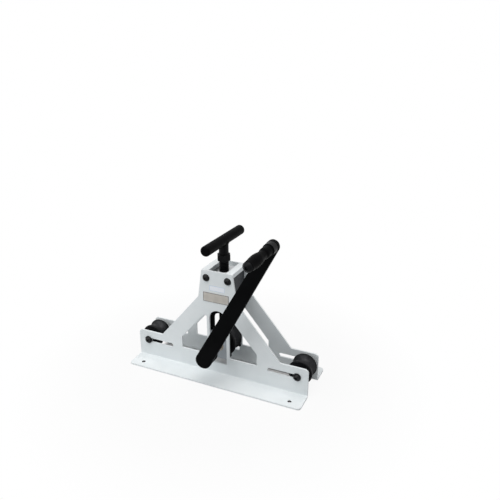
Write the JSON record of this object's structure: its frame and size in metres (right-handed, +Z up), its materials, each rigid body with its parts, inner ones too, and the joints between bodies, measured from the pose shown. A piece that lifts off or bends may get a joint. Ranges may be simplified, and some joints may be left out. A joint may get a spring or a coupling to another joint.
{
  "type": "manual pipe bender",
  "caption": "Bench tube roller: A-shaped side plates with bent feet hold grooved lower rollers and a cranked centre roller that a T-handled screw presses into the tube.",
  "frame": {"origin": "on the bench, midway between the four anchor holes of the feet", "axes": "+X along the tube, towards the side that the crank leans to; +Z up; the crank is on the -Y side"},
  "size_m": [0.567, 0.3951, 0.4899],
  "materials": {
    "white_paint": "off-white powder coat",
    "black_paint": "satin black paint",
    "roller_black": "blackened, rubbed in the groove",
    "grey_iron": "grey iron",
    "dark_steel": "dark mill scale",
    "bright_steel": "turned",
    "screw_steel": "blackened and oiled",
    "black_oxide": "black oxide",
    "bronze": "turned bronze",
    "grip_black": "matte"
  },
  "bodies": {
    "frame": {"front_side_plate": "white_paint", "rear_side_plate": "white_paint", "left_spacer_bar": "white_paint", "right_spacer_bar": "white_paint", "nut_block": "dark_steel", "screw_nut": "bronze", "tower_bolts": "black_oxide", "tower_nuts": "black_oxide"},
    "carriage": {"yoke": "black_paint", "front_bearing_block": "grey_iron", "rear_bearing_block": "grey_iron", "front_bush": "bronze", "rear_bush": "bronze", "yoke_screws": "bright_steel", "thrust_washer": "bronze"},
    "screw": {"lead_screw": "screw_steel", "t_handle_bar": "black_paint", "screw_stop_nut": "black_oxide", "retaining_collar": "black_oxide", "collar_pin": "bright_steel"},
    "drive": {"drive_shaft": "bright_steel", "centre_roller": "roller_black", "roller_key": "bright_steel", "front_shaft_spacer": "bright_steel", "rear_shaft_spacer": "bright_steel", "rear_shaft_washer": "bright_steel", "rear_retaining_ring": "black_oxide", "crank_hub": "black_paint", "crank_arm": "black_paint", "hub_set_screw": "black_oxide", "grip_bolt": "black_oxide", "grip_nut": "black_oxide", "grip_ferrule": "black_oxide"},
    "grip": {"crank_grip": "grip_black"},
    "left_axle": {"left_axle_bolt": "black_oxide", "left_axle_spacers": "bright_steel", "left_axle_washers": "black_oxide", "left_axle_nut": "black_oxide"},
    "left_roll": {"left_roller": "roller_black", "left_roller_bush": "bronze"},
    "right_axle": {"right_axle_bolt": "black_oxide", "right_axle_spacers": "bright_steel", "right_axle_washers": "black_oxide", "right_axle_nut": "black_oxide"},
    "right_roll": {"right_roller": "roller_black", "right_roller_bush": "bronze"}
  },
  "joints": [
    {"name": "carriage_slide", "type": "slide", "parent": "frame", "child": "carriage", "axis": [0, 0, 1], "range_m": [-0.015, 0.044]},
    {"name": "screw_turn", "type": "hinge", "parent": "carriage", "child": "screw", "pos_m": [0, 0, 0.3], "axis": [0, 0, 1], "range_deg": [-1079, 3167]},
    {"name": "drive_turn", "type": "hinge", "parent": "carriage", "child": "drive", "pos_m": [0, 0, 0.0995], "axis": [0, 1, 0], "continuous": true},
    {"name": "grip_spin", "type": "hinge", "parent": "drive", "child": "grip", "pos_m": [0.20279, -0.2, 0.473], "axis": [0, 1, 0], "continuous": true},
    {"name": "left_axle_slide", "type": "slide", "parent": "frame", "child": "left_axle", "axis": [1, 0, 0], "range_m": [0, 0.083]},
    {"name": "left_roller_spin", "type": "hinge", "parent": "left_axle", "child": "left_roll", "pos_m": [-0.247, 0, 0.0605], "axis": [0, 1, 0], "continuous": true},
    {"name": "right_axle_slide", "type": "slide", "parent": "frame", "child": "right_axle", "axis": [-1, 0, 0], "range_m": [0, 0.083]},
    {"name": "right_roller_spin", "type": "hinge", "parent": "right_axle", "child": "right_roll", "pos_m": [0.247, 0, 0.0605], "axis": [0, 1, 0], "continuous": true}
  ],
  "couplings": [
    {"joint": "carriage_slide", "follows": "screw_turn", "m_per_rad": 0.00079577}
  ]
}
